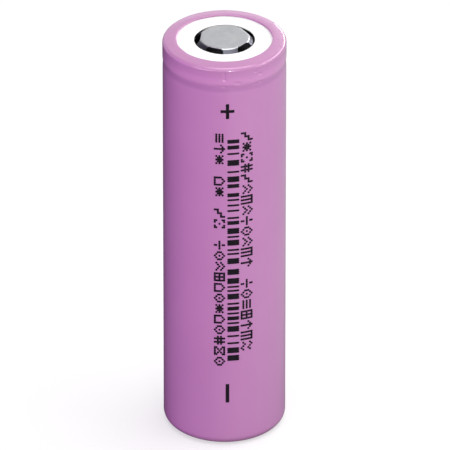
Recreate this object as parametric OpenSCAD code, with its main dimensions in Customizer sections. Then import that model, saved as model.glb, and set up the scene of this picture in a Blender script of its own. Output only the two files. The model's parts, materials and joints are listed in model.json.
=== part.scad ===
// Cylindrical lithium-ion cell with a shrink sleeve, a crimped steel can, a wound electrode roll
// and a current-interrupting vent under its positive terminal.
// The cell stands on its negative end: the origin is the centre of that end and +Z is the positive terminal.
// The front, where the sleeve is printed, faces -Y.

/* [Cell] */
// Outside diameter over the sleeve
cell_d = 18.4; // [18.2:0.1:19]
// Length from the sleeve's bottom lip to the top of the positive terminal
cell_length = 65; // [60:0.5:70]

/* [Sleeve] */
// Thickness of the shrunk film
film = 0.1; // [0.08:0.01:0.12]
// Width of the film that folds over the top edge
top_lip_w = 2.15; // [1.8:0.05:2.4]
// Width of the film that folds under the bottom edge
bottom_lip_w = 2.2; // [2:0.05:2.4]
// Depth to which the film sinks over the can's bead
film_dip = 0.08; // [0.04:0.01:0.12]

/* [Can] */
// Thickness of the can's wall
can_wall = 0.22; // [0.2:0.01:0.24]
// Thickness of the can's floor
can_floor = 0.3; // [0.25:0.05:0.35]
// Outside radius of the can's bottom edge
floor_round = 1.4; // [1.3:0.05:1.5]
// Outside radius of the can's crimped top edge
crimp_round = 0.6; // [0.5:0.05:0.65]
// Width of the can's top that is folded in over the gasket
crimp_w = 2.2; // [2:0.1:2.3]
// Depth of the bead that is rolled into the wall under the crimp
bead_depth = 1.3; // [1.2:0.05:1.35]
// Width of the bead's groove
bead_w = 1.2; // [1.1:0.05:1.3]

/* [Positive end] */
// Diameter of the terminal's flat top
terminal_d = 7.25; // [7:0.05:7.6]
// Height of the terminal above the white insulator ring
terminal_rise = 0.4; // [0.35:0.05:0.45]
// Diameter of the hole in the insulator ring
ring_hole_d = 9; // [8.9:0.05:9.4]
// Number of legs that carry the terminal's top
legs = 5; // [3:1:6]
// Width of the open window between two legs
window_w = 2.6; // [2:0.1:2.8]

/* [Electrode roll] */
// Full turns of the winding
turns = 9; // [8:1:10]
// Radius of the hollow core inside the first turn
core_r = 1.95; // [1.9:0.05:2]
// Thickness of each separator film
separator_t = 0.08; // [0.08:0.01:0.09]

/* [Hidden] */
$fn = 128;

// How far a cutting shape reaches past what it cuts
cut = 1;

// Sheet thicknesses of the small parts
ring_t = 0.2;
gasket_t = 0.35;
gasket_wall = 0.45;
cap_t = 0.3;
ptc_t = 0.3;
vent_t = 0.3;
vent_floor_t = 0.25;
plate_t = 0.3;
insulator_t = 0.3;
tape_t = 0.08;
tab_t = 0.1;

// Radii, from the outside in
land_gap = 0.2;
stack_gap = 0.03;
ring_inset = 0.75;
cell_r = cell_d / 2;
can_r = cell_r - film;
can_in_r = can_r - can_wall;
crimp_open_r = can_r - crimp_w;
land_r = cell_r - bottom_lip_w - land_gap;
stack_r = can_in_r - gasket_wall - stack_gap;
bead_centre_r = can_r - bead_depth + bead_w / 2;
ring_r = can_r - ring_inset;
ptc_in_r = 5.6;
gasket_lip = 0.2;

// Heights of the positive end, from the top down
ring_top_z = cell_length - terminal_rise;
can_top_z = ring_top_z - ring_t;
crimp_under_z = can_top_z - can_wall;
flange_top_z = crimp_under_z - gasket_t;
flange_z = flange_top_z - cap_t;
ptc_z = flange_z - ptc_t;
vent_z = ptc_z - vent_t;
shelf_z = vent_z - gasket_t;
bead_z = shelf_z - can_wall - bead_w / 2;

// The sleeve's edges
sleeve_top_z = ring_top_z + film;
sleeve_top_round = 0.8;
sleeve_floor_round = floor_round + film;
dip_margin = 0.04;
dip_half_w = bead_w / 2 - dip_margin;
dip_in_r = (pow(dip_half_w, 2) + pow(film_dip, 2)) / (2 * film_dip);
dip_out_r = dip_in_r - film;
dip_centre_r = can_r - film_dip + dip_in_r;

// The terminal's legs splay from its top down to its flange
terminal_r = terminal_d / 2;
leg_splay = 1.2;
leg_foot_r = terminal_r + leg_splay;
leg_t = 0.26;
first_leg_angle = -77;
leg_step = 360 / legs;
window_flat_depth = 0.2;
window_flat_r = terminal_r - window_flat_depth;

// The vent: a dished disc whose centre snaps up and breaks the current path
dish_r = 6.2;
dish_wall = 0.3;
dish_depth = 0.58;
dish_z = vent_z - dish_depth;
dome_r = 4.1;
dome_gap = 0.1;
dome_drop = 0.15;
dome_web = 0.05;
boss_r = 1.3;
boss_flare = 0.2;
boss_gap = 0.02;
cid_t = 0.4;
cid_wall = 0.23;
cid_in_r = 4.5;
cid_skirt_h = 0.4;
plate_top_z = dish_z - cid_t;
plate_z = plate_top_z - plate_t;
gas_holes = 6;
gas_hole_r = 0.6;
plate_holes_at_r = 3.4;
plate_holes_turn = 18;

// Inside of the can, from the floor up
inside_z = film + can_floor;
lower_insulator_lift = 0.22;
lower_insulator_z = inside_z + lower_insulator_lift;
lower_insulator_t = 0.2;
lower_insulator_in_r = 1.5;
lower_insulator_gap = 0.05;
lower_insulator_r = can_in_r - floor_round - lower_insulator_gap;
roll_lift = 0.75;
roll_headroom = 1.04;
roll_z = inside_z + roll_lift;
roll_top_z = bead_z - bead_w / 2 - can_wall - roll_headroom;
upper_insulator_lift = 0.1;
upper_insulator_z = roll_top_z + upper_insulator_lift;
upper_insulator_in_r = core_r + 0.35;
upper_insulator_r = can_in_r - 0.15;
insulator_holes_at_r = 5.5;
anode_inset = 0.5;
cathode_inset = 1;

// The winding: each half turn is half a ring, and the halves have their centres half a pitch apart
layer_gap = 0.035;
outer_room = 0.43;
roll_r = can_in_r - outer_room;
pitch = (roll_r - core_r + separator_t + 2 * layer_gap) / (turns + 0.5);
electrode_t = pitch / 2 - separator_t - 2 * layer_gap;
half_turns = 2 * turns;
inner_separator_r = core_r + electrode_t + layer_gap;
anode_r = inner_separator_r + separator_t + layer_gap;
outer_separator_r = anode_r + electrode_t + layer_gap;
half_centre = pitch / 4;

// Centre pin: a slit tube, a little shorter than the roll
pin_r = 1.4;
pin_wall = 0.25;
pin_slit = 0.5;
pin_recess = 0.2;

// Tabs
tab_clearance = 0.02;
positive_tab_w = 2.2;
positive_tab_out_r = core_r - tab_clearance;
positive_tab_length = 12;
positive_fold_y = 4.6;
positive_fold_rise = 0.3;
positive_fold_overlap = 0.5;
positive_end_y = -1.5;
negative_tab_w = 3.2;
negative_tab_in_r = roll_r + tab_clearance;
negative_tab_length = 43;
negative_bend_h = 0.9;
negative_bend_z = inside_z + negative_bend_h;
negative_bend_y = can_in_r - floor_round;
negative_bend_overlap = 0.1;
negative_end_y = 1;
negative_tape_lift = 5;
negative_tape_length = negative_tab_length - 2;
tape_margin_angle = 8;
winding_tape_r = can_in_r - 0.06;
winding_tape_inset = 2;

// Colours
orchid = [0.76, 0.46, 0.72];
paper_white = [0.95, 0.95, 0.93];
nickel = [0.72, 0.73, 0.73];
aluminium = [0.82, 0.83, 0.84];
film_white = [0.93, 0.94, 0.95];
board_cream = [0.90, 0.90, 0.82];
amber = [0.80, 0.52, 0.14];

// ---- Shared shapes ----

// Half section of a round post with rounded outer edges, from lo to hi
module post_section(r, lo, hi, round_lo, round_hi) {
    translate([0, lo + round_lo]) square([r, hi - lo - round_lo - round_hi]);
    edge_section(r, lo, round_lo, lo + round_lo);
    edge_section(r, hi - round_hi, round_hi, hi - round_hi);
}

// Half section of the part of a post that holds one rounded edge
module edge_section(r, z, round_r, centre_z) {
    if (round_r > 0) {
        translate([0, z]) square([r - round_r, round_r]);
        intersection() {
            translate([r - round_r, centre_z]) circle(r = round_r);
            translate([0, z]) square([r, round_r]);
        }
    }
}

// Flat ring from one radius to another
module washer(in_r, out_r, z, t) {
    translate([0, 0, z]) rotate_extrude() translate([in_r, 0]) square([out_r - in_r, t]);
}

// Curved strip: part of a ring, centred on an angle
module curved_strip(in_r, t, z, h, middle, width_angle) {
    rotate([0, 0, middle - width_angle / 2])
        translate([0, 0, z])
            rotate_extrude(angle = width_angle) translate([in_r, 0]) square([t, h]);
}

// Copies of a shape at even steps around the axis
module around(count, first = 0) {
    for (i = [0 : count - 1]) rotate([0, 0, first + i * 360 / count]) children();
}

// Wound foil or film, as half rings that meet end to end
module winding(first_r, t, inset, halves) {
    for (k = [0 : halves - 1]) {
        odd = k % 2;
        translate([(2 * odd - 1) * half_centre, 0, roll_z + inset])
            rotate([0, 0, odd * 180])
                rotate_extrude(angle = 180)
                    translate([first_r + k * pitch / 2, 0])
                        square([t, roll_top_z - roll_z - 2 * inset]);
    }
}

// ---- Outside ----

// One face of the film, which dips where it spans the bead
module sleeve_section(r, lo, hi, floor_r, top_r, dip_r) {
    difference() {
        post_section(r, lo, hi, floor_r, top_r);
        translate([dip_centre_r, bead_z]) circle(r = dip_r);
    }
}

module shrink_sleeve() {
    color(orchid)
        rotate_extrude()
            difference() {
                sleeve_section(cell_r, 0, sleeve_top_z, sleeve_floor_round, sleeve_top_round, dip_out_r);
                sleeve_section(can_r, film, ring_top_z, floor_round, sleeve_top_round - film, dip_in_r);
                translate([0, -cut]) square([cell_r - bottom_lip_w, 2 * cut]);
                translate([0, ring_top_z - cut]) square([cell_r - top_lip_w, 2 * cut]);
            }
}

module top_insulator_ring() {
    color(paper_white) washer(ring_hole_d / 2, ring_r, can_top_z, ring_t);
}

// ---- Can and crimp ----

// Groove of the bead, as deep as its own radius allows; grow moves it out by the wall's thickness
module bead_section(grow) {
    groove_r = bead_w / 2 + grow;
    translate([bead_centre_r, bead_z]) circle(r = groove_r);
    translate([bead_centre_r, bead_z - groove_r]) square([bead_depth, 2 * groove_r]);
}

// The middle of the floor is pressed out to be level with the sleeve's lip
module can() {
    color(nickel)
        rotate_extrude() {
            square([land_r, inside_z]);
            difference() {
                post_section(can_r, film, can_top_z, floor_round, crimp_round);
                bead_section(0);
                difference() {
                    post_section(can_in_r, inside_z, crimp_under_z, floor_round - can_floor,
                                 crimp_round - can_wall);
                    bead_section(can_wall);
                }
                translate([0, can_top_z - cut]) square([crimp_open_r, 2 * cut]);
            }
        }
}

module crimp_gasket() {
    lip_r = crimp_open_r - gasket_lip;
    color([0.86, 0.89, 0.93])
        rotate_extrude()
            difference() {
                post_section(can_in_r, shelf_z, crimp_under_z, 0, crimp_round - can_wall);
                translate([0, shelf_z - cut]) square([lip_r, crimp_under_z - shelf_z + 2 * cut]);
                translate([0, vent_z]) square([can_in_r - gasket_wall, flange_top_z - vent_z]);
            }
}

// ---- Clamped stack under the crimp ----

module terminal_section() {
    top_z = cell_length;
    polygon([
        [0, top_z - cap_t],
        [terminal_r - leg_t / 2, top_z - cap_t],
        [leg_foot_r - leg_t, flange_z],
        [stack_r, flange_z],
        [stack_r, flange_top_z],
        [leg_foot_r, flange_top_z],
        [terminal_r, top_z],
        [0, top_z]
    ]);
}

// Slot that leaves a flat on the terminal's edge and opens the cone down to the flange
module terminal_window() {
    translate([window_flat_r, -window_w / 2, flange_top_z])
        cube([leg_foot_r - window_flat_r, window_w, cell_length - flange_top_z + cut]);
}

module terminal_cap() {
    color([0.66, 0.67, 0.67])
        difference() {
            rotate_extrude() terminal_section();
            around(legs, first_leg_angle + leg_step / 2) terminal_window();
        }
}

module ptc_ring() {
    color([0.25, 0.25, 0.27]) washer(ptc_in_r, stack_r, ptc_z, ptc_t);
}

module vent_disc() {
    color(aluminium) {
        washer(dish_r - dish_wall, stack_r, vent_z, vent_t);
        washer(dish_r - dish_wall, dish_r, dish_z, vent_z - dish_z);
        washer(dome_r + dome_gap, dish_r, dish_z, vent_floor_t);
    }
}

// Dished centre of the vent, whose boss rests on the contact plate
module vent_dome() {
    boss_z = plate_top_z + boss_gap;
    color([0.90, 0.91, 0.92])
        rotate_extrude()
            polygon([
                [0, boss_z],
                [boss_r, boss_z],
                [boss_r + boss_flare, dish_z - dome_drop],
                [dome_r, dish_z],
                [dome_r, dish_z + vent_floor_t],
                [boss_r, dish_z + dome_web],
                [0, dish_z + dome_web]
            ]);
}

module cid_insulator() {
    skirt_z = plate_top_z - cid_skirt_h;
    skirt_h = cid_t + 2 * cid_skirt_h;
    color(film_white) {
        washer(cid_in_r, dish_r + cid_wall, plate_top_z, cid_t);
        washer(dish_r, dish_r + cid_wall, skirt_z, skirt_h);
    }
}

module contact_plate() {
    color(aluminium)
        difference() {
            translate([0, 0, plate_z]) cylinder(r = dish_r, h = plate_t);
            around(gas_holes, plate_holes_turn)
                translate([plate_holes_at_r, 0, plate_z - cut]) cylinder(r = gas_hole_r, h = 2 * cut);
        }
}

// ---- Electrode roll ----

module cathode() {
    color([0.20, 0.20, 0.22]) winding(core_r, electrode_t, cathode_inset, half_turns);
}

module inner_separator() {
    color(film_white) winding(inner_separator_r, separator_t, 0, half_turns);
}

module anode() {
    color([0.30, 0.27, 0.26]) winding(anode_r, electrode_t, anode_inset, half_turns);
}

// The anode's last half turn is left bare, where the negative tab is welded
module outer_separator() {
    color(film_white) winding(outer_separator_r, separator_t, 0, half_turns - 1);
}

module winding_tape() {
    color(amber)
        washer(winding_tape_r - tape_t, winding_tape_r, roll_z + winding_tape_inset,
               roll_top_z - roll_z - 2 * winding_tape_inset);
}

module centre_pin() {
    color(nickel)
        difference() {
            washer(pin_r - pin_wall, pin_r, roll_z, roll_top_z - roll_z - pin_recess);
            translate([-pin_slit / 2, -2 * pin_r, 0]) cube([pin_slit, 2 * pin_r, cell_length]);
        }
}

// ---- Insulators and tabs ----

module upper_insulator() {
    color(board_cream)
        difference() {
            washer(upper_insulator_in_r, upper_insulator_r, upper_insulator_z, insulator_t);
            around(gas_holes)
                translate([insulator_holes_at_r, 0, upper_insulator_z - cut])
                    cylinder(r = gas_hole_r, h = 2 * cut);
        }
}

module lower_insulator() {
    color(board_cream)
        washer(lower_insulator_in_r, lower_insulator_r, lower_insulator_z, lower_insulator_t);
}

// A flat run of tab that is centred on the Y axis
module tab_run(w, y_lo, y_hi, z_lo, z_hi) {
    translate([-w / 2, y_lo, z_lo]) cube([w, y_hi - y_lo, z_hi - z_lo]);
}

// Rises inside the first turn, folds outwards and back, and is welded under the contact plate
module positive_tab() {
    in_r = positive_tab_out_r - tab_t;
    fold_z = upper_insulator_z + insulator_t + positive_fold_rise;
    width_angle = 2 * asin(positive_tab_w / 2 / positive_tab_out_r);
    color(aluminium) {
        translate([-half_centre, 0, 0])
            curved_strip(in_r, tab_t, roll_top_z - positive_tab_length,
                         fold_z - roll_top_z + positive_tab_length, 90, width_angle);
        tab_run(positive_tab_w, in_r - positive_fold_overlap, positive_fold_y, fold_z - tab_t, fold_z);
        tab_run(positive_tab_w, positive_fold_y - tab_t, positive_fold_y, fold_z - tab_t, plate_z);
        tab_run(positive_tab_w, positive_end_y, positive_fold_y, plate_z - tab_t, plate_z);
    }
}

module positive_tab_tape() {
    out_r = positive_tab_out_r - tab_t - tab_clearance;
    width_angle = 2 * asin(positive_tab_w / 2 / positive_tab_out_r) + 2 * tape_margin_angle;
    color(amber)
        translate([-half_centre, 0, 0])
            curved_strip(out_r - tape_t, tape_t, roll_top_z - positive_tab_length,
                         positive_tab_length, 90, width_angle);
}

// Runs down outside the last turn, under the roll, and is welded to the middle of the can's floor
module negative_tab() {
    width_angle = 2 * asin(negative_tab_w / 2 / negative_tab_in_r);
    out_r = negative_tab_in_r + tab_t;
    color(nickel)
        translate([half_centre, 0, 0]) {
            curved_strip(negative_tab_in_r, tab_t, negative_bend_z, negative_tab_length, -90, width_angle);
            translate([-negative_tab_w / 2, 0, 0])
                rotate([90, 0, 90])
                    linear_extrude(height = negative_tab_w)
                        polygon([
                            [-out_r, negative_bend_z + negative_bend_overlap],
                            [-out_r, negative_bend_z],
                            [-negative_bend_y, inside_z],
                            [negative_end_y, inside_z],
                            [negative_end_y, inside_z + tab_t],
                            [-negative_bend_y + tab_t, inside_z + tab_t],
                            [-negative_tab_in_r, negative_bend_z],
                            [-negative_tab_in_r, negative_bend_z + negative_bend_overlap]
                        ]);
        }
}

module negative_tab_tape() {
    tape_r = negative_tab_in_r + tab_t + tab_clearance;
    width_angle = 2 * asin(negative_tab_w / 2 / negative_tab_in_r) + tape_margin_angle;
    color(amber)
        translate([half_centre, 0, 0])
            curved_strip(tape_r, tape_t, roll_z + negative_tape_lift, negative_tape_length, -90,
                         width_angle);
}

shrink_sleeve();
top_insulator_ring();
can();
crimp_gasket();
terminal_cap();
ptc_ring();
vent_disc();
vent_dome();
cid_insulator();
contact_plate();
positive_tab();
positive_tab_tape();
upper_insulator();
cathode();
inner_separator();
anode();
outer_separator();
winding_tape();
centre_pin();
lower_insulator();
negative_tab();
negative_tab_tape();
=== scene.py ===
"""Looks of the cylindrical battery cell: shrink film, printing, insulator ring, terminal and studio."""
import json
import math
import random

import bmesh
import bpy
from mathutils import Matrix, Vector


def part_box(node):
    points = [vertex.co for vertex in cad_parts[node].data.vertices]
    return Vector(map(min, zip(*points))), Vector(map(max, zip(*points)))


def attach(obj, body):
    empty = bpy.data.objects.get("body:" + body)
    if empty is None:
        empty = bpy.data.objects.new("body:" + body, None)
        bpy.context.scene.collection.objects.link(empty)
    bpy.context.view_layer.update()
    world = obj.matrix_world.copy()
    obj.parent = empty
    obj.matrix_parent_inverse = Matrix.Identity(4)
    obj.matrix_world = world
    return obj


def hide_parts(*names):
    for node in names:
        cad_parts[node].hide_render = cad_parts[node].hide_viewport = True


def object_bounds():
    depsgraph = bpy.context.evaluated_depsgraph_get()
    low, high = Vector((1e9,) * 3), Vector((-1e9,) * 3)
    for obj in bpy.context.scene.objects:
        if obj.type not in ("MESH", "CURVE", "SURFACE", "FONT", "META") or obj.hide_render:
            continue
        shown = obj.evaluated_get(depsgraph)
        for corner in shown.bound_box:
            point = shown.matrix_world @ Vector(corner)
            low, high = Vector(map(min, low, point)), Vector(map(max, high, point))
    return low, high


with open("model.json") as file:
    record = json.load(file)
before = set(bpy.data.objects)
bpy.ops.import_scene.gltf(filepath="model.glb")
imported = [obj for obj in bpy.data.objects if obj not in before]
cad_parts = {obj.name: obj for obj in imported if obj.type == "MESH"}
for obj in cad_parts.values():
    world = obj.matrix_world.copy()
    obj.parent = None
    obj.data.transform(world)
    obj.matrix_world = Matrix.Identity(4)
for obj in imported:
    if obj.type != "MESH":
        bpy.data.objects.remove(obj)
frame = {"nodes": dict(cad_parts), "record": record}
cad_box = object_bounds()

MM = 0.001
SEED = 18
SHARP_ANGLE = 40
WHITE = (1, 1, 1)

# ---- Places taken from the frame ----
ring_low, ring_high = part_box("top_insulator_ring")
cap_low, cap_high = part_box("terminal_cap")
CELL_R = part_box("shrink_sleeve")[1].x
CAN_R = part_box("can")[1].x
RING_TOP = ring_high.z
RING_R = ring_high.x
TOP = cad_box[1].z
BEAD_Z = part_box("crimp_gasket")[0].z - 1.3 * MM
BODY = "cell"

# ---- Shape of the film ----
BODY_R = CELL_R - 0.04 * MM
RIM_R = CELL_R - 0.012 * MM
FILM_T = 0.1 * MM
NECK_T = 0.035 * MM
FLOOR_ROUND = 1.46 * MM
CAN_FLOOR_ROUND = 1.4 * MM
SHOULDER_ROUND = 0.58 * MM
CRIMP_ROUND = 0.7 * MM
LIP_ROUND = 0.18 * MM
LIP_H = 0.24 * MM
LIP_UNDERCUT = 0.16 * MM
TOP_LIP_R = CELL_R - 2.15 * MM
BOTTOM_LIP_R = CELL_R - 2.2 * MM
BOTTOM_EDGE = 0.05 * MM
BOTTOM_FLAT = 0.35 * MM
# Points on the top lip: distance from its edge and drop from its crest, in mm
LIP_SLOPE = [(0.9, 0.05), (0.5, 0.01)]
SHOULDER_Z = RING_TOP + FILM_T + 0.01 * MM - SHOULDER_ROUND
CRIMP_FLAT_R = CELL_R - 1 * MM
# The film stays clear of the can's side and of the surfaces that it is folded over
SIDE_GAP = 0.004 * MM
FOLD_GAP = 0.003 * MM
# The film sinks a little over the bead, sooner above it than below
DIP = 0.045 * MM
DIP_ABOVE = 0.9 * MM
DIP_BELOW = 1.3 * MM
NECK_LOW_Z = BEAD_Z - DIP_BELOW
FILM_COLUMNS = 600
SIDE_ROWS = 44
NECK_ROWS = 96
INSIDE_ROWS = 24
INSIDE_STEP = 0.2 * MM

# ---- Unevenness of the film ----
# Puckers all round: each range is in mm, heights from the bead
PUCKERS = 26
PUCKER_Z = (-0.5, 1.5)
PUCKER_WIDTH = (0.25, 0.6)
PUCKER_TALL = (0.12, 0.35)
PUCKER_DEPTH = (0.01, 0.03)
# Creases in front, over the crimp and the neck: degrees from the front, then height, width and tall in mm
CREASES = [
    (0, 63.6, 0.12, 0.5), (0, 62.8, 0.25, 0.18), (0, 61.6, 0.3, 0.16),
    (11.0, 62.25, 0.4, 0.18), (13.0, 62.05, 0.4, 0.18),
    (30, 63.6, 0.25, 0.16), (35, 63.0, 0.3, 0.2), (36, 61.6, 0.35, 0.16), (30, 61.5, 0.3, 0.16)
]
CREASE_DEPTH = 0.075 * MM
DENT_REACH = 3
DENTS_BELOW = 2 * MM
DENTS_ABOVE = 3 * MM
SIDE_WAVE = 0.003 * MM
END_ZONE = 1 * MM
LIP_WAVE = 0.02 * MM
LIP_ZONE = 0.8 * MM
PLEATS = 46
PLEAT_DEPTH = 0.0025 * MM
PLEAT_START = 0.3 * MM

# ---- Colour of the film, with painted light and shade ----
# Painted light and shade by height in mm: even below, painted shade in the neck's groove, a painted highlight
# along the crimp's lower edge, painted shade that tones down the lip
BAND_LOW = 59 * MM
BAND_HIGH = 65 * MM
BAND_RIPPLE = 0.25 * MM
EVEN_TONE = (0.88, 0.86, 0.90)
NECK_PAINTED_SHADE = (0.76, 0.72, 0.80)
LIP_PAINTED_SHADE = (0.80, 0.82, 0.78)
PAINTED_LIGHT_BANDS = [
    (59.1, EVEN_TONE), (60.7, EVEN_TONE), (61.0, NECK_PAINTED_SHADE), (61.6, NECK_PAINTED_SHADE),
    (62.1, WHITE), (62.9, WHITE), (63.4, EVEN_TONE), (63.9, EVEN_TONE),
    (64.5, LIP_PAINTED_SHADE), (64.9, LIP_PAINTED_SHADE)
]

# ---- Printing: angles in degrees from the front towards +X ----
INK_OUT_R = BODY_R + 0.018 * MM
INK_IN_R = BODY_R - 0.02 * MM
BAR_FACE_ANGLE = 1.5
DOT_R = 0.18 * MM
DOT_SIDES = 10
SIGN_ANGLE = 2.8
PLUS_Z = 57.5 * MM
PLUS_HALF_ANGLE = 6.4
PLUS_HALF_H = 1.25 * MM
PLUS_STROKE_HALF_ANGLE = 1.5
PLUS_STROKE_HALF_H = 0.24 * MM
MINUS_Z = 9.15 * MM
MINUS_HALF_ANGLE = 1.7
MINUS_HALF_H = 1.6 * MM
# Blocks of print: low angle, high angle, top and bottom
BAR_CODE = (3.5, 13.0, 52.7 * MM, 15.4 * MM)
LEFT_LINE = (-9.0, -0.3, 53.6 * MM, 13.5 * MM)
RIGHT_LINE = (16.2, 26.2, 53.6 * MM, 14.1 * MM)
BAR_STEP = 0.32 * MM
BAR_END_R = 0.16 * MM
# What a bar's width is drawn from, in steps, and the gap after it, in mm
BAR_STEPS = (1, 1, 2, 3)
BAR_GAPS = (0.36, 0.36, 0.6, 0.9)
GLYPHS = 22
GLYPH_COLUMNS = 5
GLYPH_ROWS = 7
SPACE_CHANCE = 0.12
# Dot patterns that are neither letters nor digits: rows from the top down, as they are read from the left
GLYPH_SHAPES = {
    "house": "..#.. .#.#. #...# #...# #...# #...# #####",
    "arrow": "..#.. .###. #.#.# ..#.. ..#.. ..#.. ..#..",
    "hourglass": "##### #...# .#.#. ..#.. .#.#. #...# #####",
    "stairs": "....# ....# ..### ..#.. ###.. #.... #....",
    "diamond": "..#.. .#.#. #...# #.#.# #...# .#.#. ..#..",
    "window": "##### #.#.# #.#.# ##### #.#.# #.#.# #####",
    "comb": "##### #.#.# #.#.# #.#.# #.#.# #.#.# #.#.#",
    "rules": "..... ##### ..... ##### ..... ##### .....",
    "hash": ".#.#. .#.#. ##### .#.#. ##### .#.#. .#.#.",
    "chevrons": "..#.. .#.#. #...# ..#.. .#.#. #...# .....",
    "divide": "..#.. ..#.. ..... ##### ..... ..#.. ..#..",
    "star": "..... #.#.# .###. ##### .###. #.#.# .....",
    "quincunx": "##.## #...# ..... ..#.. ..... #...# ##.##",
    "waves": ".#... #.#.# ...#. ..... .#... #.#.# ...#.",
}

# ---- Insulator ring ----
RING_HOLE_R = 4.5 * MM
RING_EDGE = 0.05 * MM
RING_COLUMNS = 240
RING_FACE_ROWS = 12
RING_SWELL = 0.004 * MM
HOLE_WAVE = 0.01 * MM

# ---- Terminal ----
TERMINAL_R = 3.625 * MM
LEGS = 5
FIRST_LEG = -77
LEG_STEP = 360 / LEGS
# Half width of a leg in degrees, and what its two ends add over a share of its length
LEG_WAIST = 15.5
LEG_FLARE_TOP = 6
LEG_FLARE_FOOT = 2.5
LEG_FADE_TOP = 0.14
LEG_FADE_FOOT = 0.12
CAP_T = 0.3 * MM
CAP_WALL = 0.9 * CAP_T
CAP_EDGE = 0.045 * MM
CAP_EDGE_ANGLE = 35
WINDOW_FLAT_R = TERMINAL_R - 0.13 * MM
LEG_FOOT_R = TERMINAL_R + 1.2 * MM
FOOT_Z = cap_low.z + CAP_T
DISC_RINGS = 10
LEG_ROWS = 10
LEG_CELLS = 12
WINDOW_CELLS = 12
FLANGE_RINGS = 3
# Painted shade darkens the legs below the disc: depths below the top where the full painted shade ends and
# the unshaded tone starts
LEG_SHADE_DEPTH = 0.16 * MM
UNSHADED_DEPTH = 0.03 * MM
LEG_PAINTED_SHADE = (0.20, 0.20, 0.23)

# ---- Inner parts ----
# Finish by the record's slot: dark and light tone, roughness, noise cells per metre, relief in mm, settings
PLAIN = {}
STEEL = {"metallic": 1.0, "fine": 8}
SHEET = {"metallic": 1.0, "stretch": (1, 1, 0.1)}
DRAWN = {"stretch": (1, 1, 0.2)}
FINISHES = {
    "can_nickel": ((0.62, 0.62, 0.61), (0.70, 0.70, 0.68), (0.24, 0.38), 500, 0.0015, STEEL),
    "gasket_polymer": ((0.60, 0.64, 0.70), (0.70, 0.74, 0.80), (0.4, 0.55), 300, 0.003, PLAIN),
    "ptc_laminate": ((0.03, 0.03, 0.034), (0.055, 0.055, 0.06), (0.5, 0.7), 900, 0.004, PLAIN),
    # Painted shade: the vent is near black to darken the view through the terminal's windows; bare aluminium
    # is bright
    "vent_aluminium": ((0.06, 0.06, 0.065), (0.11, 0.11, 0.12), (0.45, 0.6), 600, 0.002, {"metallic": 0.9}),
    "cid_polymer": ((0.70, 0.71, 0.70), (0.80, 0.81, 0.80), (0.45, 0.6), 400, 0.002, PLAIN),
    "tab_aluminium": ((0.66, 0.67, 0.68), (0.78, 0.79, 0.80), (0.3, 0.45), 900, 0.002, SHEET),
    "tab_nickel": ((0.52, 0.51, 0.48), (0.64, 0.63, 0.60), (0.3, 0.45), 900, 0.002, SHEET),
    "polyimide_tape": ((0.62, 0.30, 0.05), (0.72, 0.38, 0.08), (0.18, 0.3), 250, 0.002, PLAIN),
    "glass_fibre_board": ((0.70, 0.70, 0.58), (0.82, 0.82, 0.70), (0.6, 0.8), 1800, 0.005, PLAIN),
    "cathode_coating": ((0.020, 0.020, 0.024), (0.040, 0.040, 0.046), (0.7, 0.9), 1500, 0.004, PLAIN),
    "anode_coating": ((0.045, 0.038, 0.034), (0.075, 0.062, 0.055), (0.6, 0.85), 1500, 0.004, PLAIN),
    "separator_film": ((0.78, 0.80, 0.82), (0.88, 0.89, 0.91), (0.4, 0.55), 500, 0.002, DRAWN),
    "pin_steel": ((0.52, 0.53, 0.54), (0.62, 0.63, 0.64), (0.28, 0.42), 900, 0.002, SHEET),
}

# ---- Studio ----
FLOOR_R = 3
FLOOR_SIDES = 96
FLOOR_GAP = 0.02 * MM
FLOOR_TONE = 0.88
# Share of plain white in the floor that the camera sees, from near the cell out to the backdrop
GLOW_NEAR = 0.55
GLOW_NEAR_R = 0.03
GLOW_FAR_R = 0.16
# Grey of the floor in its bounced light, from left to right of the cell
BOUNCE_LEFT = 0.045
BOUNCE_RIGHT = 0.30
BOUNCE_LEFT_X = -0.008
BOUNCE_RIGHT_X = 0.03
AMBIENT = 0.08
BACKDROP = 1.0
# Softboxes: name, azimuth, elevation, distance, width, height, power and colour
SOFTBOXES = [
    ("overhead", 20, 82, 0.7, 0.6, 0.6, 4.2, WHITE),
    ("key_left", -38, 11, 0.6, 0.4, 0.26, 1.48, (1.0, 0.78, 0.98)),
    ("key_front", 4, 11, 0.6, 0.4, 0.26, 0.42, WHITE),
    ("key_right", 70, 11, 0.6, 0.4, 0.26, 0.14, WHITE),
    ("side_right", 100, 30, 0.6, 0.7, 0.14, 2.2, WHITE),
    ("back_right", 152, 20, 0.6, 0.4, 0.12, 1.3, WHITE),
    ("back_card", 180, 34, 0.6, 0.5, 0.35, 0.28, WHITE),
    ("back_left", -150, 11, 0.6, 0.9, 0.26, 0.6, WHITE),
    ("fill_left", -80, 11, 0.6, 0.4, 0.26, 0.7, (0.45, 0.03, 0.9)),
    ("catch_front", 12, 4, 0.6, 0.07, 0.07, 0.96, WHITE),
    ("catch_right", 66, 4, 0.6, 0.07, 0.07, 0.3, WHITE),
]
VIEW_ELEVATION = 30
VIEW_DISTANCE = 1.5
VIEW_MIDDLE = Vector((0.08 * MM, 0, TOP / 2 + 0.44 * MM))
LENS = 804
SENSOR = 36


# ---- Mesh helpers ----
def arc(centre_r, centre_z, radius, start, end, steps):
    """Points of an arc in a half section, from one angle in degrees to another."""
    points = []
    for i in range(steps + 1):
        angle = math.radians(start + (end - start) * i / steps)
        points.append((centre_r + radius * math.cos(angle), centre_z + radius * math.sin(angle)))
    return points


def polar(r, degrees, z):
    """Point at a radius and an angle around Z."""
    angle = math.radians(degrees)
    return (r * math.cos(angle), r * math.sin(angle), z)


def smoothstep(low, high, value):
    t = min(1, max(0, (value - low) / (high - low)))
    return t * t * (3 - 2 * t)


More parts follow.
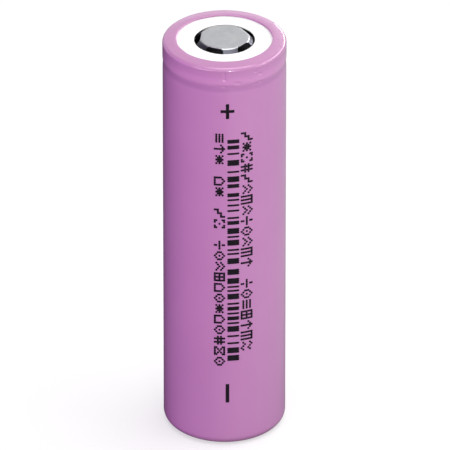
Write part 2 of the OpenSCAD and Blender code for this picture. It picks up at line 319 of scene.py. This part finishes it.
def new_piece(name, verts, faces, material, slot_name):
    """Makes a closed mesh piece that rides on the cell's CAD body."""
    mesh = bpy.data.meshes.new(name)
    mesh.from_pydata(verts, [], faces)
    bm = bmesh.new()
    bm.from_mesh(mesh)
    bmesh.ops.recalc_face_normals(bm, faces=bm.faces)
    bm.to_mesh(mesh)
    bm.free()
    mesh.polygons.foreach_set("use_smooth", [True] * len(mesh.polygons))
    mesh.set_sharp_from_angle(angle=math.radians(SHARP_ANGLE))
    mesh.materials.append(material)
    piece = bpy.data.objects.new(name, mesh)
    bpy.context.scene.collection.objects.link(piece)
    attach(piece, BODY)
    return piece


def lathe(name, section, columns, material, slot_name, shift):
    """Turns a closed half section around Z. shift moves a point: (r, z, angle) to (r, z)."""
    verts = []
    for c in range(columns):
        angle = 2 * math.pi * c / columns
        for point in section:
            r, z = shift(*point, angle)
            verts.append((r * math.cos(angle), r * math.sin(angle), z))
    rows = len(section)
    faces = []
    for c in range(columns):
        here = c * rows
        there = (c + 1) % columns * rows
        for i in range(rows):
            j = (i + 1) % rows
            faces.append((here + i, there + i, there + j, here + j))
    return new_piece(name, verts, faces, material, slot_name)


# ---- Material helpers ----
def new_material(name):
    material = bpy.data.materials.new(name)
    material.use_nodes = True
    return material, material.node_tree.nodes["Principled BSDF"]


def grey(level):
    return (level, level, level, 1)


def place_in_object(material):
    """Place on the surface in its object's own axes, in metres."""
    return material.node_tree.nodes.new("ShaderNodeTexCoord").outputs["Object"]


def along(material, axis):
    """Coordinate of the surface along an axis of its object, in metres."""
    parts = material.node_tree.nodes.new("ShaderNodeSeparateXYZ")
    material.node_tree.links.new(place_in_object(material), parts.inputs["Vector"])
    return parts.outputs[axis]


def add_noise(material, scale, detail, stretch=(1, 1, 1), distortion=0.0):
    """Noise in object space, as a 0 to 1 value; scale counts cells per metre."""
    nodes = material.node_tree.nodes
    links = material.node_tree.links
    mapping = nodes.new("ShaderNodeMapping")
    mapping.inputs["Scale"].default_value = stretch
    noise = nodes.new("ShaderNodeTexNoise")
    noise.inputs["Scale"].default_value = scale
    noise.inputs["Detail"].default_value = detail
    noise.inputs["Distortion"].default_value = distortion
    links.new(place_in_object(material), mapping.inputs["Vector"])
    links.new(mapping.outputs["Vector"], noise.inputs["Vector"])
    return noise.outputs["Fac"]


def spread(material, value, low, high, start=0.0):
    """Value that goes from start to 1 while the given one goes from low to high."""
    node = material.node_tree.nodes.new("ShaderNodeMapRange")
    node.inputs["From Min"].default_value = low
    node.inputs["From Max"].default_value = high
    node.inputs["To Min"].default_value = start
    material.node_tree.links.new(value, node.inputs["Value"])
    return node.outputs["Result"]


def ramp(material, value, low, high, span=(0.3, 0.7)):
    """Colour or grey that goes from low to high as the value crosses the span."""
    node = material.node_tree.nodes.new("ShaderNodeValToRGB")
    node.color_ramp.elements[0].position = span[0]
    node.color_ramp.elements[1].position = span[1]
    node.color_ramp.elements[0].color = low
    node.color_ramp.elements[1].color = high
    material.node_tree.links.new(value, node.inputs["Fac"])
    return node.outputs["Color"]


def multiply(material, one, other):
    """Product of two colours."""
    node = material.node_tree.nodes.new("ShaderNodeMix")
    node.data_type = "RGBA"
    node.blend_type = "MULTIPLY"
    node.inputs["Factor"].default_value = 1
    material.node_tree.links.new(one, node.inputs["A"])
    material.node_tree.links.new(other, node.inputs["B"])
    return node.outputs["Result"]


def mix_shaders(tree, share, first, second):
    """First shader where the share is 0 and the second where it is 1."""
    mix = tree.nodes.new("ShaderNodeMixShader")
    tree.links.new(share, mix.inputs["Fac"])
    tree.links.new(first, mix.inputs[1])
    tree.links.new(second, mix.inputs[2])
    return mix.outputs["Shader"]


def add_bump(material, shader, layers):
    """Chains bumps: each layer is a 0 to 1 height and its depth in metres."""
    normal = None
    for height, depth in layers:
        bump = material.node_tree.nodes.new("ShaderNodeBump")
        bump.inputs["Strength"].default_value = 1
        bump.inputs["Distance"].default_value = depth
        material.node_tree.links.new(height, bump.inputs["Height"])
        if normal:
            material.node_tree.links.new(normal, bump.inputs["Normal"])
        normal = bump.outputs["Normal"]
    material.node_tree.links.new(normal, shader.inputs["Normal"])


def textured(name, low, high, roughness, scale, relief, metallic=0.0, stretch=(1, 1, 1), fine=6.0):
    """Two-tone surface with uneven gloss and relief, from one coarse and one fine noise."""
    material, shader = new_material(name)
    links = material.node_tree.links
    shader.inputs["Metallic"].default_value = metallic
    coarse = add_noise(material, scale, 5, stretch)
    detail = add_noise(material, scale * fine, 3, stretch)
    links.new(ramp(material, coarse, (*low, 1), (*high, 1)), shader.inputs["Base Color"])
    links.new(ramp(material, detail, grey(roughness[0]), grey(roughness[1])), shader.inputs["Roughness"])
    add_bump(material, shader, [(detail, relief * MM), (coarse, relief * MM)])
    return material


# ---- Materials ----
def painted_light_by_height(material):
    """Painted light and shade on the film by height, with slightly wavy limits: shade in the neck and on the
    lip, a highlight on the crimp's lower edge.
    """
    nodes, links = material.node_tree.nodes, material.node_tree.links
    wobble = nodes.new("ShaderNodeMath")
    wobble.operation = "MULTIPLY_ADD"
    wobble.inputs[1].default_value = BAND_RIPPLE
    links.new(add_noise(material, 260, 2), wobble.inputs[0])
    links.new(along(material, "Z"), wobble.inputs[2])
    bands = nodes.new("ShaderNodeValToRGB")
    bands.color_ramp.interpolation = "B_SPLINE"
    # A new ramp has two stops already
    stops = bands.color_ramp.elements
    for i, (z, tone) in enumerate(PAINTED_LIGHT_BANDS):
        at = (z * MM - BAND_LOW) / (BAND_HIGH - BAND_LOW)
        stop = stops[i] if i < 2 else stops.new(at)
        stop.position = at
        stop.color = (*tone, 1)
    links.new(spread(material, wobble.outputs["Value"], BAND_LOW, BAND_HIGH), bands.inputs["Fac"])
    return bands.outputs["Color"]


def film_material():
    """Glossy shrink film with painted light and shade by height, draw lines in its gloss and a fine orange
    peel.
    """
    material, shader = new_material("sleeve_film")
    links = material.node_tree.links
    cloud = add_noise(material, 90, 3)
    draw_lines = add_noise(material, 900, 1, (1, 1, 0.05))
    peel = add_noise(material, 2600, 2)
    pigment = ramp(material, cloud, (0.585, 0.264, 0.522, 1), (0.612, 0.281, 0.545, 1))
    # Base colour: the pigment times painted light and shade by height
    links.new(multiply(material, pigment, painted_light_by_height(material)), shader.inputs["Base Color"])
    links.new(ramp(material, draw_lines, grey(0.26), grey(0.34), (0, 1)), shader.inputs["Roughness"])
    shader.inputs["IOR"].default_value = 1.45
    shader.inputs["Coat Weight"].default_value = 0.6
    shader.inputs["Coat Roughness"].default_value = 0.07
    add_bump(material, shader, [(peel, 0.0004 * MM), (cloud, 0.01 * MM)])
    return material


def ink_material():
    """Matt ink that barely shines, so that it stays near black."""
    material = textured("print_ink", (0.004, 0.003, 0.006), (0.012, 0.009, 0.015), (0.55, 0.7), 900, 0.002)
    material.node_tree.nodes["Principled BSDF"].inputs["IOR"].default_value = 1.22
    return material


def fibre_material():
    """Pressed white fibre with short pale flecks."""
    return textured("fibre_white", (0.86, 0.86, 0.84), (0.93, 0.93, 0.92), (0.75, 0.9), 1400, 0.004,
                    stretch=(1, 0.35, 1), fine=3)


def terminal_material():
    """Satin nickel with soft clouds, as tumbling leaves it, and painted shade that darkens the legs below the
    top.
    """
    material, shader = new_material("terminal_nickel")
    links = material.node_tree.links
    cloud = add_noise(material, 700, 4, distortion=0.4)
    grain = add_noise(material, 9000, 2)
    shader.inputs["Metallic"].default_value = 1
    plate = ramp(material, cloud, (0.55, 0.56, 0.58, 1), (0.64, 0.65, 0.67, 1))
    # Painted shade: the legs turn darker below the disc's top
    height = spread(material, along(material, "Z"), TOP - LEG_SHADE_DEPTH, TOP - UNSHADED_DEPTH)
    painted_leg_shade = ramp(material, height, (*LEG_PAINTED_SHADE, 1), grey(1), (0, 1))
    links.new(multiply(material, plate, painted_leg_shade), shader.inputs["Base Color"])
    links.new(ramp(material, grain, grey(0.34), grey(0.46)), shader.inputs["Roughness"])
    add_bump(material, shader, [(grain, 0.0012 * MM), (cloud, 0.002 * MM)])
    return material


def floor_material():
    """Pale floor that fades to white with distance. Its bounced light is weaker, and weakest on the left."""
    material, default_shader = new_material("floor_pale")
    tree = material.node_tree
    tree.nodes.remove(default_shader)
    shaded = tree.nodes.new("ShaderNodeBsdfDiffuse")
    shaded.inputs["Color"].default_value = grey(FLOOR_TONE)
    glow = tree.nodes.new("ShaderNodeEmission")
    glow.inputs["Color"].default_value = grey(1)
    reach = tree.nodes.new("ShaderNodeVectorMath")
    reach.operation = "LENGTH"
    tree.links.new(place_in_object(material), reach.inputs[0])
    fade = spread(material, reach.outputs["Value"], GLOW_NEAR_R, GLOW_FAR_R, GLOW_NEAR)
    seen = mix_shaders(tree, fade, shaded.outputs["BSDF"], glow.outputs["Emission"])
    bounce = tree.nodes.new("ShaderNodeBsdfDiffuse")
    across = spread(material, along(material, "X"), BOUNCE_LEFT_X, BOUNCE_RIGHT_X)
    bounce_tone = ramp(material, across, grey(BOUNCE_LEFT), grey(BOUNCE_RIGHT), (0, 1))
    tree.links.new(bounce_tone, bounce.inputs["Color"])
    path = tree.nodes.new("ShaderNodeLightPath")
    surface = mix_shaders(tree, path.outputs["Is Camera Ray"], bounce.outputs["BSDF"], seen)
    tree.links.new(surface, tree.nodes["Material Output"].inputs["Surface"])
    return material


# ---- Sleeve ----
def film_side_r(z):
    """Outer radius of the film's side, which sinks over the bead and stands out over the crimp."""
    base = BODY_R + (RIM_R - BODY_R) * smoothstep(BEAD_Z, BEAD_Z + DIP_ABOVE, z)
    reach = DIP_ABOVE if z > BEAD_Z else DIP_BELOW
    t = min(1, abs(z - BEAD_Z) / reach)
    return base - DIP * 0.5 * (1 + math.cos(math.pi * t))


def film_outer_face():
    """Half section of the film's outer face, from the bottom lip up to the edge of the top lip."""
    crest_z = RING_TOP + LIP_H
    points = arc(BOTTOM_LIP_R + BOTTOM_EDGE, BOTTOM_EDGE, BOTTOM_EDGE, 180, 270, 4)
    points += [(BOTTOM_LIP_R + BOTTOM_FLAT, 0)]
    points += arc(BODY_R - FLOOR_ROUND, FLOOR_ROUND, FLOOR_ROUND, -90, 0, 16)
    for i in range(1, SIDE_ROWS):
        points.append((BODY_R, FLOOR_ROUND + (NECK_LOW_Z - FLOOR_ROUND) * i / SIDE_ROWS))
    for i in range(NECK_ROWS):
        z = NECK_LOW_Z + (SHOULDER_Z - NECK_LOW_Z) * i / NECK_ROWS
        points.append((film_side_r(z), z))
    points += arc(RIM_R - SHOULDER_ROUND, SHOULDER_Z, SHOULDER_ROUND, 0, 82, 14)
    points += [(TOP_LIP_R + inward * MM, crest_z - drop * MM) for inward, drop in LIP_SLOPE]
    points += arc(TOP_LIP_R + LIP_ROUND, crest_z - LIP_ROUND, LIP_ROUND, 90, 180, 8)
    return points


def film_inner_face():
    """Half section of the film's inner face, from the top lip down round the can to the bottom lip."""
    inside_r = CAN_R + SIDE_GAP
    under_z = RING_TOP + FOLD_GAP
    points = [(TOP_LIP_R + LIP_UNDERCUT, under_z), (CRIMP_FLAT_R, under_z)]
    points += arc(CELL_R - FILM_T - CRIMP_ROUND, RING_TOP - CRIMP_ROUND, CRIMP_ROUND + FOLD_GAP, 85, 5, 8)
    for i in range(INSIDE_ROWS):
        z = SHOULDER_Z - (SHOULDER_Z - NECK_LOW_Z) * (i + 0.5) / INSIDE_ROWS
        points.append((min(inside_r, film_side_r(z) - NECK_T), z))
    for z in (NECK_LOW_Z - INSIDE_STEP, TOP / 2, FLOOR_ROUND + INSIDE_STEP):
        points.append((inside_r, z))
    fold_z = FILM_T + CAN_FLOOR_ROUND - FOLD_GAP
    points += arc(CAN_R - CAN_FLOOR_ROUND, fold_z, CAN_FLOOR_ROUND + FOLD_GAP, 0, -90, 8)
    points += [(BOTTOM_LIP_R, FILM_T)]
    return points


def film_dents(rng):
    """Small dents where the film puckers over the bead and the crimp: (angle, height, width, tall, depth)."""
    dents = []
    for k in range(PUCKERS):
        angle = 2 * math.pi * (k + rng.uniform(-0.3, 0.3)) / PUCKERS
        z = BEAD_Z + rng.uniform(*PUCKER_Z) * MM
        width = rng.uniform(*PUCKER_WIDTH) * MM
        tall = rng.uniform(*PUCKER_TALL) * MM
        dents.append((angle, z, width, tall, rng.uniform(*PUCKER_DEPTH) * MM))
    for degrees, z, width, tall in CREASES:
        dents.append((math.radians(degrees - 90), z * MM, width * MM, tall * MM, CREASE_DEPTH))
    return dents


def dent_depth(dents, z, angle):
    """How far the dents push the film in at a place on its side."""
    total = 0
    for at, height, width, tall, depth in dents:
        across = ((angle - at + math.pi) % (2 * math.pi) - math.pi) * CELL_R
        if abs(across) < DENT_REACH * width:
            total += depth * math.exp(-(across / width) ** 2 - ((z - height) / tall) ** 2)
    return total


def film_shift(dents):
    """Displacement of the film: soft waves on the side, dents at the neck, and uneven lips."""
    def shift(r, z, angle):
        if r > BODY_R - 2 * FILM_T:
            r -= SIDE_WAVE * (1 + math.sin(3 * angle + 180 * z) * math.sin(150 * z + 1))
            if BEAD_Z - DENTS_BELOW < z < BEAD_Z + DENTS_ABOVE:
                r -= dent_depth(dents, z, angle)
        if z < END_ZONE or z > TOP - END_ZONE:
            wave = math.sin(5 * angle + 1) + 0.7 * math.sin(11 * angle + 2) + 0.4 * math.sin(23 * angle)
            r += LIP_WAVE * wave * (1 - smoothstep(0, LIP_ZONE, r - TOP_LIP_R))
            if z > RING_TOP + FILM_T / 2:
                pleat = 1 + math.sin(PLEATS * angle + 3 * math.sin(7 * angle))
                z -= PLEAT_DEPTH * pleat * smoothstep(0, PLEAT_START, r - TOP_LIP_R)
        return r, z
    return shift


def build_sleeve(material, rng):
    """The film over the whole cell, folded over both ends."""
    section = film_outer_face() + film_inner_face()
    piece = lathe("sleeve_film", section, FILM_COLUMNS, material, "sleeve_film", film_shift(film_dents(rng)))
    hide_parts("shrink_sleeve")


# ---- Printing on the sleeve ----
def on_side(degrees, z, r):
    """Point on the sleeve's side."""
    angle = math.radians(degrees)
    return (r * math.sin(angle), -r * math.cos(angle), z)


def add_bar(mesh, low_angle, high_angle, low_z, high_z):
    """A printed bar: a thin block that follows the round of the sleeve."""
    verts, faces = mesh
    steps = max(1, math.ceil((high_angle - low_angle) / BAR_FACE_ANGLE))
    start = len(verts)
    for i in range(steps + 1):
        angle = low_angle + (high_angle - low_angle) * i / steps
        for r in (INK_IN_R, INK_OUT_R):
            verts.append(on_side(angle, low_z, r))
            verts.append(on_side(angle, high_z, r))
    for i in range(steps):
        here = start + 4 * i
        there = here + 4
        for one, other in ((0, 1), (1, 3), (3, 2), (2, 0)):
            faces.append((here + one, here + other, there + other, there + one))
    end = start + 4 * steps
    faces.append((start, start + 1, start + 3, start + 2))
    faces.append((end, end + 2, end + 3, end + 1))


def add_dot(mesh, angle, z, radius):
    """A printed dot: a thin round button on the sleeve's side."""
    verts, faces = mesh
    start = len(verts)
    for r in (INK_IN_R, INK_OUT_R):
        for i in range(DOT_SIDES):
            turn = 2 * math.pi * i / DOT_SIDES
            across = math.degrees(radius * math.cos(turn) / BODY_R)
            verts.append(on_side(angle + across, z + radius * math.sin(turn), r))
    faces.append(tuple(start + i for i in range(DOT_SIDES)))
    faces.append(tuple(start + DOT_SIDES + i for i in range(DOT_SIDES)))
    for i in range(DOT_SIDES):
        j = (i + 1) % DOT_SIDES
        faces.append((start + i, start + j, start + DOT_SIDES + j, start + DOT_SIDES + i))


def add_glyph_line(mesh, low_angle, high_angle, top_z, bottom_z, rng):
    """A line of abstract dot patterns that runs down the sleeve."""
    step_z = (top_z - bottom_z) / GLYPHS
    dot_z = step_z / (GLYPH_COLUMNS + 1)
    dot_angle = (high_angle - low_angle) / (GLYPH_ROWS - 1)
    for g in range(GLYPHS):
        shape = GLYPH_SHAPES[rng.choice(sorted(GLYPH_SHAPES))]
        if rng.random() < SPACE_CHANCE:
            continue
        for j, row in enumerate(shape.split()):
            for i, mark in enumerate(row):
                if mark == "#":
                    add_dot(mesh, high_angle - j * dot_angle, top_z - g * step_z - i * dot_z, DOT_R)


def add_bar_code(mesh, low_angle, high_angle, top_z, bottom_z, rng):
    """A stack of bars of random width, which encodes nothing. Dots round off the ends of the bars."""
    z = top_z
    while z > bottom_z:
        lines = rng.choice(BAR_STEPS)
        bar = lines * BAR_STEP
        add_bar(mesh, low_angle, high_angle, z - bar, z)
        for i in range(lines):
            for end in (low_angle, high_angle):
                add_dot(mesh, end, z - bar * (i + 0.5) / lines, BAR_END_R)
        z -= bar + rng.choice(BAR_GAPS) * MM


def add_sign_bar(mesh, z, half_angle, half_h):
    """One bar of the plus or the minus sign, around the signs' common line."""
    add_bar(mesh, SIGN_ANGLE - half_angle, SIGN_ANGLE + half_angle, z - half_h, z + half_h)


def build_print(material, rng):
    """Plus and minus sign, a mock bar code and two lines of abstract signs, as one thin layer of ink."""
    mesh = ([], [])
    add_sign_bar(mesh, PLUS_Z, PLUS_HALF_ANGLE, PLUS_STROKE_HALF_H)
    add_sign_bar(mesh, PLUS_Z, PLUS_STROKE_HALF_ANGLE, PLUS_HALF_H)
    add_sign_bar(mesh, MINUS_Z, MINUS_HALF_ANGLE, MINUS_HALF_H)
    add_bar_code(mesh, *BAR_CODE, rng)
    add_glyph_line(mesh, *LEFT_LINE, rng)
    add_glyph_line(mesh, *RIGHT_LINE, rng)
    new_piece("sleeve_print", *mesh, material, "sleeve_film")


# ---- Insulator ring ----
def build_ring(material, rng):
    """Punched fibre washer with soft edges and a slightly uneven face."""
    low, high = ring_low.z, RING_TOP
    outer_r, inner_r = RING_R - RING_EDGE, RING_HOLE_R + RING_EDGE
    section = arc(inner_r, low + RING_EDGE, RING_EDGE, 180, 270, 3)
    section += arc(outer_r, low + RING_EDGE, RING_EDGE, -90, 0, 3)
    section += arc(outer_r, high - RING_EDGE, RING_EDGE, 0, 90, 3)
    for i in range(1, RING_FACE_ROWS):
        section.append((outer_r + (inner_r + RING_EDGE - RING_R) * i / RING_FACE_ROWS, high))
    section += arc(inner_r, high - RING_EDGE, RING_EDGE, 90, 180, 3)
    phases = [rng.uniform(0, 6.28) for _ in range(4)]

    def shift(r, z, angle):
        if z > high - RING_EDGE / 2:
            swell = math.sin(2 * angle + phases[0] + 900 * r) + math.sin(5 * angle + phases[1] - 1500 * r)
            z -= RING_SWELL * (2 + swell)
        if r < inner_r:
            r += HOLE_WAVE * math.sin(9 * angle + phases[2]) * math.sin(17 * angle + phases[3])
        return r, z

    piece = lathe("insulator_ring_face", section, RING_COLUMNS, material, "fibre_white", shift)
    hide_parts("top_insulator_ring")


# ---- Terminal cap ----
def terminal_outline_r(degrees):
    """Radius of the terminal's edge: round over a leg and flat over a window."""
    off = (degrees - FIRST_LEG - LEG_STEP / 2) % LEG_STEP
    off = min(off, LEG_STEP - off)
    return min(TERMINAL_R, WINDOW_FLAT_R / math.cos(math.radians(off)))


def leg_half_angle(t):
    """Half of a leg's width in degrees, from its top (0) to its foot (1), with flared ends."""
    top = LEG_FLARE_TOP * math.exp(-t / LEG_FADE_TOP)
    foot = LEG_FLARE_FOOT * math.exp(-(1 - t) / LEG_FADE_FOOT)
    return LEG_WAIST + top + foot


def rim_angles():
    """Angles in degrees of the points on the disc's rim: over each leg, then over the window after it."""
    half = leg_half_angle(0)
    gap = LEG_STEP - 2 * half
    angles = []
    for k in range(LEGS):
        middle = FIRST_LEG + k * LEG_STEP
        angles += [middle - half + 2 * half * i / LEG_CELLS for i in range(LEG_CELLS)]
        angles += [middle + half + gap * i / WINDOW_CELLS for i in range(WINDOW_CELLS)]
    return angles


def add_disc(bm):
    """Flat top of the terminal. Returns the points of its rim."""
    angles = rim_angles()
    centre = bm.verts.new((0, 0, TOP))
    rings = []
    for n in range(1, DISC_RINGS + 1):
        share = n / DISC_RINGS
        rings.append([bm.verts.new(polar(terminal_outline_r(a) * share, a, TOP)) for a in angles])
    for i in range(len(angles)):
        j = (i + 1) % len(angles)
        bm.faces.new((centre, rings[0][i], rings[0][j]))
        for inner, outer in zip(rings, rings[1:]):
            bm.faces.new((inner[i], outer[i], outer[j], inner[j]))
    return rings[-1]


def add_leg(bm, rim, k):
    """Splayed leg down from the disc's rim. Returns the points of its foot."""
    middle = FIRST_LEG + k * LEG_STEP
    first = k * (LEG_CELLS + WINDOW_CELLS)
    above = [rim[(first + i) % len(rim)] for i in range(LEG_CELLS + 1)]
    for row in range(1, LEG_ROWS + 1):
        t = row / LEG_ROWS
        half = leg_half_angle(t)
        r = TERMINAL_R + (LEG_FOOT_R - TERMINAL_R) * t
        z = TOP + (FOOT_Z - TOP) * t
        angles = [middle - half + 2 * half * i / LEG_CELLS for i in range(LEG_CELLS + 1)]
        below = [bm.verts.new(polar(r, a, z)) for a in angles]
        for i in range(LEG_CELLS):
            bm.faces.new((above[i], below[i], below[i + 1], above[i + 1]))
        above = below
    return above


def add_flange(bm, feet):
    """Flat flange from the legs' feet out to the crimp."""
    half = leg_half_angle(1)
    gap = LEG_STEP - 2 * half
    inner = []
    for k, foot in enumerate(feet):
        inner += foot
        gap_low = FIRST_LEG + k * LEG_STEP + half
        for i in range(1, WINDOW_CELLS):
            inner.append(bm.verts.new(polar(LEG_FOOT_R, gap_low + gap * i / WINDOW_CELLS, FOOT_Z)))
    angles = [math.degrees(math.atan2(v.co.y, v.co.x)) for v in inner]
    previous = inner
    for n in range(1, FLANGE_RINGS + 1):
        r = LEG_FOOT_R + (cap_high.x - LEG_FOOT_R) * n / FLANGE_RINGS
        ring = [bm.verts.new(polar(r, a, FOOT_Z)) for a in angles]
        for i in range(len(ring)):
            j = (i + 1) % len(ring)
            bm.faces.new((previous[i], ring[i], ring[j], previous[j]))
        previous = ring


def build_terminal(material):
    """Stamped cap: flat top, splayed legs and a flange that the crimp holds."""
    bm = bmesh.new()
    rim = add_disc(bm)
    feet = [add_leg(bm, rim, k) for k in range(LEGS)]
    add_flange(bm, feet)
    bmesh.ops.recalc_face_normals(bm, faces=bm.faces)
    mesh = bpy.data.meshes.new("terminal_top")
    bm.to_mesh(mesh)
    bm.free()
    if mesh.polygons[0].normal.z < 0:
        mesh.flip_normals()
    mesh.polygons.foreach_set("use_smooth", [True] * len(mesh.polygons))
    mesh.materials.append(material)
    piece = bpy.data.objects.new("terminal_top", mesh)
    bpy.context.scene.collection.objects.link(piece)
    wall = piece.modifiers.new("wall", "SOLIDIFY")
    wall.thickness = CAP_WALL
    wall.offset = -1
    wall.use_even_offset = True
    edge = piece.modifiers.new("edge", "BEVEL")
    edge.width = CAP_EDGE
    edge.segments = 3
    edge.limit_method = "ANGLE"
    edge.angle_limit = math.radians(CAP_EDGE_ANGLE)
    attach(piece, BODY)
    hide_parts("terminal_cap")


# ---- Inner parts ----
def finish_inner_parts():
    """Gives the CAD parts inside the cell the finish of their slot in the record."""
    finishes = {}
    for name, (low, high, roughness, scale, relief, settings) in FINISHES.items():
        finishes[name] = textured(name, low, high, roughness, scale, relief, **settings)
    slots = {part["node"]: part["material_slot"] for part in frame["record"]["subparts"]}
    for node, thing in frame["nodes"].items():
        if slots[node] in finishes:
            for s in thing.material_slots:
                s.material = finishes[slots[node]]


# ---- Studio ----
def build_floor():
    """Wide round floor just under the cell."""
    place = (0, 0, cad_box[0].z - FLOOR_GAP)
    bpy.ops.mesh.primitive_circle_add(vertices=FLOOR_SIDES, radius=FLOOR_R, fill_type="NGON", location=place)
    floor = bpy.context.object
    floor.name = "floor"
    floor.data.materials.append(floor_material())


def seen_from(middle, azimuth, elevation, distance):
    """Point around the middle: azimuth 0 is in front of the cell, 90 at its right."""
    a, e = math.radians(azimuth), math.radians(elevation)
    return middle + distance * Vector((math.sin(a) * math.cos(e), -math.cos(a) * math.cos(e), math.sin(e)))


def aim(thing, place, middle):
    """Puts a light or the camera at a place and turns it towards the middle."""
    thing.location = place
    thing.rotation_euler = (middle - thing.location).to_track_quat("-Z", "Y").to_euler()


def softbox(name, azimuth, elevation, distance, width, height, power, colour):
    """Area light that faces the cell."""
    light = bpy.data.lights.new(name, "AREA")
    light.shape = "RECTANGLE"
    light.size = width
    light.size_y = height
    light.energy = power
    light.color = colour
    lamp = bpy.data.objects.new(name, light)
    bpy.context.scene.collection.objects.link(lamp)
    middle = Vector((0, 0, TOP / 2))
    aim(lamp, seen_from(middle, azimuth, elevation, distance), middle)


def build_world():
    """White backdrop for the camera and weak ambient light for everything else."""
    world = bpy.data.worlds.new("studio")
    world.use_nodes = True
    tree = world.node_tree
    ambient = tree.nodes["Background"]
    ambient.inputs["Color"].default_value = grey(1)
    ambient.inputs["Strength"].default_value = AMBIENT
    backdrop = tree.nodes.new("ShaderNodeBackground")
    backdrop.inputs["Color"].default_value = grey(1)
    backdrop.inputs["Strength"].default_value = BACKDROP
    path = tree.nodes.new("ShaderNodeLightPath")
    is_camera = path.outputs["Is Camera Ray"]
    surface = mix_shaders(tree, is_camera, ambient.outputs["Background"], backdrop.outputs["Background"])
    tree.links.new(surface, tree.nodes["World Output"].inputs["Surface"])
    bpy.context.scene.world = world


def build_camera():
    """Long lens, above the cell's middle and in front of its printed side."""
    camera = bpy.data.objects.new("camera", bpy.data.cameras.new("camera"))
    bpy.context.scene.collection.objects.link(camera)
    aim(camera, seen_from(VIEW_MIDDLE, 0, VIEW_ELEVATION, VIEW_DISTANCE), VIEW_MIDDLE)
    camera.data.sensor_width = SENSOR
    camera.data.lens = LENS
    camera.data.clip_start = 0.01
    camera.data.clip_end = 50
    bpy.context.scene.camera = camera


def main():
    rng = random.Random(SEED)
    build_sleeve(film_material(), rng)
    build_print(ink_material(), rng)
    build_ring(fibre_material(), rng)
    build_terminal(terminal_material())
    finish_inner_parts()
    build_floor()
    for box in SOFTBOXES:
        softbox(*box)
    build_world()
    build_camera()
    bpy.context.scene.view_settings.view_transform = "Standard"


main()
